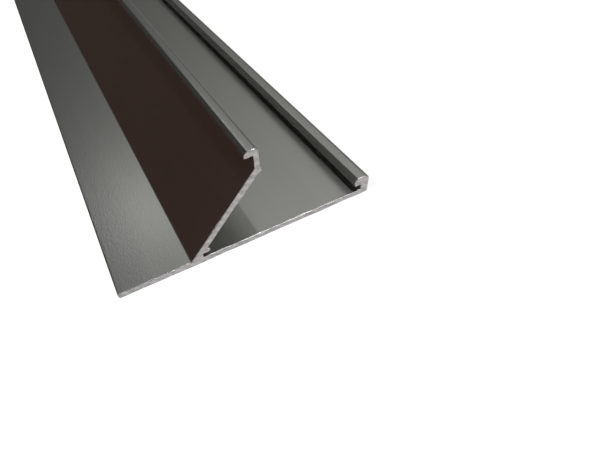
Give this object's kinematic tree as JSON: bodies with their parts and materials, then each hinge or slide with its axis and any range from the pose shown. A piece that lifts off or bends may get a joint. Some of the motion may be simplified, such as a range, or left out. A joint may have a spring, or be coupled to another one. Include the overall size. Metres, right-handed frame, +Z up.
{
  "type": "aluminium extrusion profile",
  "caption": "Straight extruded bar: flat base plate with a bare flange, a leaning web with a hooked neck, and a hooked edge lip that faces a nib, forming a track for a thin panel.",
  "frame": {"origin": "in the plane of the plate's underside, at the middle of the bar's width and length", "axes": "+X across the section from the bare flange to the hooked lip, +Y along the bar, +Z up from the plate's underside to the hooked neck"},
  "size_m": [0.062, 1, 0.0244],
  "materials": {
    "aluminium": "satin drawn surface, sawn ends, dark brown coating on the web's flange-side face"
  },
  "bodies": {
    "root": {"extrusion": "aluminium"}
  },
  "joints": []
}
